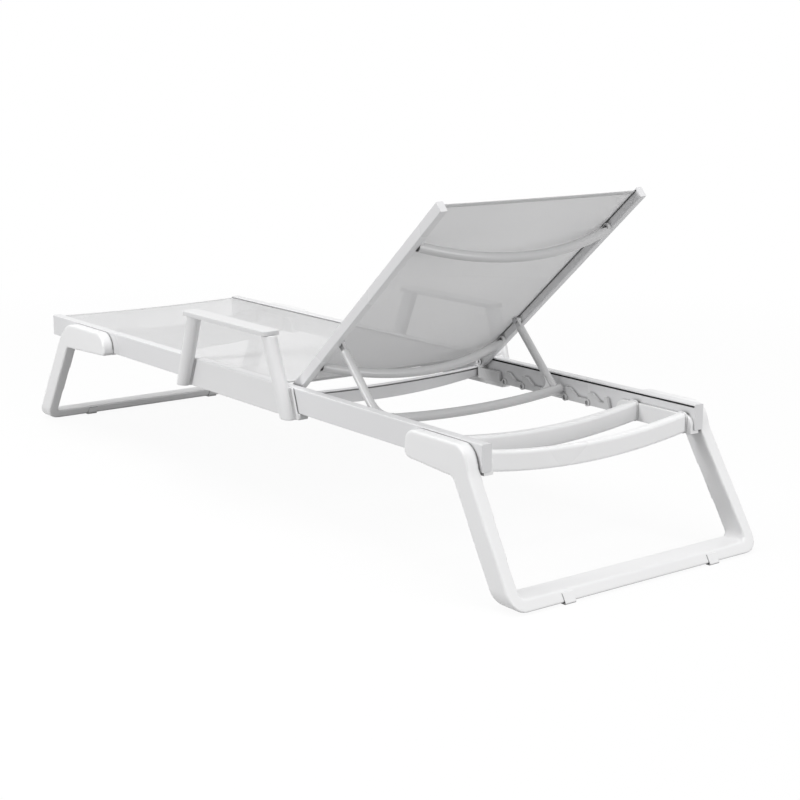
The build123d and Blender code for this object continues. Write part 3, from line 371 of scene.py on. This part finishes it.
def makeSling(name, setup):
    common = {"Held Width": setup["heldWidth"], "Sag": setup["sag"], "Lean": (0.0, setup["lean"], 0.0)}
    strip = {**common, "Columns": setup["columns"], "Rise": setup["lift"]}
    stitch = {**common, "Pitch": setup["stitchPitch"], "Thread": setup["thread"],
              "Row Width": setup["heldWidth"] - setup["stitchInset"], "Material": finishes["stitchThread"]}
    cloth = bakeTree(name, clothTree, clothKeys, {**strip, "Length": setup["length"], "Rows": setup["rows"],
                                                  "Start": setup["start"], "Material": finishes["slingMesh"]})
    thicken(cloth, setup["thick"])
    trims = []
    along = Vector((math.cos(setup["lean"]), 0.0, -math.sin(setup["lean"])))
    for end, hemAt in (("Lower", 0.0), ("Upper", setup["length"] - setup["hem"])):
        place = tuple(Vector(setup["start"]) + along * hemAt)
        hem = bakeTree(f"{name}{end}Hem", clothTree, clothKeys,
                       {**strip, "Held Width": setup["heldWidth"] - setup["hemInset"], "Length": setup["hem"],
                        "Rows": setup["hemRows"], "Start": place, "Material": finishes["slingHem"]})
        thicken(hem, setup["thick"] * setup["hemThick"])
        for number, fromFold in enumerate(setup["stitchRows"]):
            rowAlong = setup["hem"] - fromFold if end == "Lower" else fromFold
            for side, rise in (("Front", setup["threadRise"]), ("Rear", -setup["threadRise"])):
                trims.append(bakeTree(f"{name}{end}{side}Stitches{number + 1}", stitchTree, stitchKeys,
                                      {**stitch, "Along": rowAlong, "Start": place,
                                       "Rise": setup["lift"] + rise * setup["thick"]}))
        trims.append(hem)
    for piece in [cloth] + trims:
        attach(piece, setup["body"])
    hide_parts(setup["node"])


makeSling("seatSling", seatSling)
makeSling("backSling", backSling)
print("slings stretched")

# moulded pieces: the CAD shape with soft, drafted edges
moulds = {
    "rearLegFrame": {"node": "rear_leg_frame", "voxel": 0.003, "passes": 5, "finish": "mouldedWhite"},
    "frontLegFrame": {"node": "front_leg_frame", "voxel": 0.003, "passes": 5, "finish": "mouldedWhite"},
    "nearArmrest": {"node": "near_armrest", "voxel": 0.0016, "passes": 7, "finish": "armrestWhite"},
    "farArmrest": {"node": "far_armrest", "voxel": 0.0016, "passes": 7, "finish": "armrestWhite"},
}
mouldSmoothing = 0.5
weldDistance = 1e-6


def softMould(name, setup):
    shape = bmesh.new()
    shape.from_mesh(frame["nodes"][setup["node"]].data)
    bmesh.ops.remove_doubles(shape, verts=shape.verts, dist=weldDistance)
    mesh = bpy.data.meshes.new(name)
    shape.to_mesh(mesh)
    shape.free()
    piece = newPiece(name, mesh)
    skin = piece.modifiers.new("skin", "REMESH")
    skin.mode = "VOXEL"
    skin.voxel_size = setup["voxel"]
    soft = piece.modifiers.new("soft", "SMOOTH")
    soft.factor = mouldSmoothing
    soft.iterations = setup["passes"]
    depsgraph = bpy.context.evaluated_depsgraph_get()
    softMesh = bpy.data.meshes.new_from_object(piece.evaluated_get(depsgraph), depsgraph=depsgraph)
    piece.modifiers.clear()
    piece.data = softMesh
    for face in softMesh.polygons:
        face.use_smooth = True
    piece.data.materials.clear()
    piece.data.materials.append(finishes[setup["finish"]])
    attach(piece, "frame")
    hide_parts(setup["node"])


for mouldName, mouldSetup in moulds.items():
    softMould(mouldName, mouldSetup)
print("moulded pieces ready")

# screws and bolts: a round head with a hexagonal socket, and its shank
screwMake = {"socketSides": 6, "shankSides": 16, "mostSpin": math.radians(60), "seed": 4}
screwTree, screwKeys, screwIn = newTree("screwRow", {
    "Places": "Geometry", "Head Radius": "Float", "Head Depth": "Float", "Socket Radius": "Float",
    "Shank Radius": "Float", "Shank Length": "Float", "Sides": "Int", "Turn": "Float", "Material": "Material"})


def rodNodes(tree, sides, radius, depth, lift):
    rod = addNode(tree, "GeometryNodeMeshCylinder", {"Vertices": sides, "Radius": radius, "Depth": depth})
    lifted = addNode(tree, "GeometryNodeTransform", {"Geometry": rod.outputs["Mesh"],
                                                     "Translation": vectorNode(tree, 0.0, 0.0, lift)})
    return lifted.outputs["Geometry"]


screwHead = rodNodes(screwTree, screwIn["Sides"], screwIn["Head Radius"], screwIn["Head Depth"],
                     mathNode(screwTree, "MULTIPLY", screwIn["Head Depth"], 0.5))
screwSocket = rodNodes(screwTree, screwMake["socketSides"], screwIn["Socket Radius"], screwIn["Head Depth"],
                       screwIn["Head Depth"])
screwShank = rodNodes(screwTree, screwMake["shankSides"], screwIn["Shank Radius"], screwIn["Shank Length"],
                      mathNode(screwTree, "MULTIPLY", screwIn["Shank Length"], -0.5))
sunkHead = addNode(screwTree, "GeometryNodeMeshBoolean", {"Mesh 1": screwHead, "Mesh 2": screwSocket},
                   operation="DIFFERENCE", solver="EXACT")
screw = addNode(screwTree, "GeometryNodeJoinGeometry", {"Geometry": [sunkHead.outputs["Mesh"], screwShank]})
screwPlace = splitNode(screwTree, addNode(screwTree, "GeometryNodeInputPosition").outputs["Position"])
screwTurn = mathNode(screwTree, "MULTIPLY", mathNode(screwTree, "SIGN", screwPlace["Y"]), screwIn["Turn"])
turnedScrews = addNode(screwTree, "GeometryNodeInstanceOnPoints",
                       {"Points": screwIn["Places"], "Instance": screw.outputs["Geometry"],
                        "Rotation": vectorNode(screwTree, screwTurn, 0.0, 0.0)})
screwSpin = addNode(screwTree, "FunctionNodeRandomValue", {"Max": screwMake["mostSpin"], "Seed": screwMake["seed"]})
spunScrews = addNode(screwTree, "GeometryNodeRotateInstances",
                     {"Instances": turnedScrews.outputs["Instances"], "Local Space": True,
                      "Rotation": vectorNode(screwTree, 0.0, 0.0, screwSpin.outputs["Value"])})
endTree(screwTree, spunScrews.outputs["Instances"], screwIn["Material"])

# rows of screws: "at" gives x and z, "y" the head's seat on both sides, "turn" the way a head faces in degrees
tubeBolts = [onBack(along=0.105, behind=0.017), onBack(along=0.566, behind=0.017)]
screwRows = {
    "rackScrews": {"node": "rack_screws", "body": "frame", "y": 0.2741, "headRadius": 0.0048, "headDepth": 0.0016,
                   "socket": 0.0022, "shank": 0.0022, "length": 0.0149, "sides": 24, "turn": 90,
                   "at": [(x, 0.2505) for x in (0.2963, 0.3613, 0.4367, 0.5121, 0.5875)]},
    "legBolts": {"node": "leg_bolts", "body": "frame", "y": 0.2740, "headRadius": 0.0065, "headDepth": 0.0030,
                 "socket": 0.0032, "shank": 0.0030, "length": 0.0460, "sides": 28, "turn": 90,
                 "at": [(x, 0.2590) for x in (-0.8515, -0.7065, 0.7355, 0.8805)]},
    "armrestScrews": {"node": "armrest_screws", "body": "frame", "y": 0.2940, "headRadius": 0.0048,
                      "headDepth": 0.0016, "socket": 0.0022, "shank": 0.0022, "length": 0.0210, "sides": 24,
                      "turn": 180, "at": [(x, 0.2310) for x in (-0.1865, 0.2065)]},
    "backTubeBolts": {"node": "back_tube_bolts", "body": "backrest", "y": 0.2577, "headRadius": 0.0038,
                      "headDepth": 0.0020, "socket": 0.0019, "shank": 0.0025, "length": 0.0115, "sides": 24,
                      "turn": 90, "at": [(bolt.x, bolt.z) for bolt in tubeBolts]},
}
for rowName, setup in screwRows.items():
    places = [(x, side * setup["y"], z) for side in (-1, 1) for x, z in setup["at"]]
    screws = bakeTree(rowName, screwTree, screwKeys,
                      {"Head Radius": setup["headRadius"], "Head Depth": setup["headDepth"],
                       "Socket Radius": setup["socket"], "Shank Radius": setup["shank"],
                       "Shank Length": setup["length"], "Sides": setup["sides"],
                       "Turn": math.radians(setup["turn"]), "Material": finishes["zincPlatedSteel"]}, places)
    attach(screws, setup["body"])
    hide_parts(setup["node"])
print("screws and bolts set")

# finishes of the pieces that stay as the CAD has them: by the end of the name, or else by the slot
nodeFinish = {"side_rail": "sideRailCoat", "back_rail": "backRailCoat", "end_cap": "railPowderCoat",
              "top_cap": "railPowderCoat", "mid_cross_member": "railPowderCoat", "back_tube": "tubeShadedCoat",
              "stay_bar": "tubeShadedCoat", "stay_arm": "tubeShadedCoat", "stay_gusset": "tubeShadedCoat",
              "stay_plug": "tubeShadedCoat", "recline_rack": "rackShadedPlastic", "hinge_knuckle": "rackShadedPlastic",
              "arm_pad": "armPadShadedWhite", "floor_pad": "floorPadPlastic", "_beam": "beamWhite"}
slotFinish = {"white_metal": "railPowderCoat", "white_plastic": "mouldedWhite", "bright_steel": "zincPlatedSteel",
              "spline_rod": "splinePlastic", "sling_mesh": "slingMesh"}
slotOf = {part["node"]: part["material_slot"] for part in frame["record"]["subparts"]}
for node, piece in frame["nodes"].items():
    finishName = next((name for ending, name in nodeFinish.items() if node.endswith(ending)),
                      slotFinish[slotOf[node]])
    piece.data.materials.clear()
    piece.data.materials.append(finishes[finishName])
print("frame pieces coated")

# floor, white around the lounger's shadow, and white surroundings
studio = {"floorSize": 40.0, "floorColour": (0.95, 0.95, 0.95), "bounceColour": (0.30, 0.30, 0.30),
          "floorRough": 0.9, "whiteShare": 0.93, "clearFrom": 1.6, "clearTo": 3.6, "skyLevel": 0.40}


def seenRays(tree):
    paths = addNode(tree, "ShaderNodeLightPath").outputs
    mirrored = mathNode(tree, "MAXIMUM", paths["Is Glossy Ray"], paths["Is Transmission Ray"])
    return mathNode(tree, "MAXIMUM", paths["Is Camera Ray"], mirrored)


floorMesh = bpy.data.meshes.new("studioFloor")
reach = studio["floorSize"] / 2
floorMesh.from_pydata([(-reach, -reach, 0), (reach, -reach, 0), (reach, reach, 0), (-reach, reach, 0)], [],
                      [(0, 1, 2, 3)])
floor = newPiece("studioFloor", floorMesh)
floorMaterial, floorShader = newMaterial("studioFloor", studio["floorColour"], studio["floorRough"], {})
floorTree = floorMaterial.node_tree
floorSeen = seenRays(floorTree)
feedSocket(floorTree, floorShader.inputs["Base Color"],
           mixColours(floorTree, floorSeen, studio["bounceColour"], studio["floorColour"]))
fromMiddle = addNode(floorTree, "ShaderNodeVectorMath",
                     {0: addNode(floorTree, "ShaderNodeTexCoord").outputs["Object"]}, operation="LENGTH")
white = rangeNode(floorTree, fromMiddle.outputs["Value"], studio["clearFrom"], studio["clearTo"],
                  studio["whiteShare"], 1.0)
glow = addNode(floorTree, "ShaderNodeEmission")
floorMix = addNode(floorTree, "ShaderNodeMixShader", {0: mathNode(floorTree, "MULTIPLY", floorSeen, white),
                                                      1: floorShader.outputs[0], 2: glow.outputs[0]})
feedSocket(floorTree, floorTree.nodes["Material Output"].inputs["Surface"], floorMix.outputs[0])
floorMesh.materials.append(floorMaterial)

world = bpy.data.worlds.new("studioSky")
scene.world = world
world.use_nodes = True
sky = world.node_tree.nodes["Background"]
sky.inputs["Color"].default_value = (1.0, 1.0, 1.0, 1.0)
feedSocket(world.node_tree, sky.inputs["Strength"],
           rangeNode(world.node_tree, seenRays(world.node_tree), 0.0, 1.0, studio["skyLevel"], 1.0))

lamps = {
    "topLamp": {"place": (0.2, -0.4, 4.5), "target": (0.1, 0.0, 0.3), "size": 3.0, "power": 105.0},
    "sideLamp": {"place": (-0.3, -3.9, 1.6), "target": (-0.2, 0.0, 0.25), "size": 1.0, "power": 64.0},
    "headLamp": {"place": (7.0, 1.4, 2.0), "target": (0.4, 0.0, 0.3), "size": 4.0, "power": 172.0},
}
for lampName, setup in lamps.items():
    lampData = bpy.data.lights.new(lampName, "AREA")
    lampData.size = setup["size"]
    lampData.energy = setup["power"]
    lamp = bpy.data.objects.new(lampName, lampData)
    lamp.location = setup["place"]
    lamp.rotation_euler = (Vector(setup["target"]) - Vector(setup["place"])).to_track_quat("-Z", "Y").to_euler()
    scene.collection.objects.link(lamp)
scene.view_settings.view_transform = "Standard"
print("studio lit")
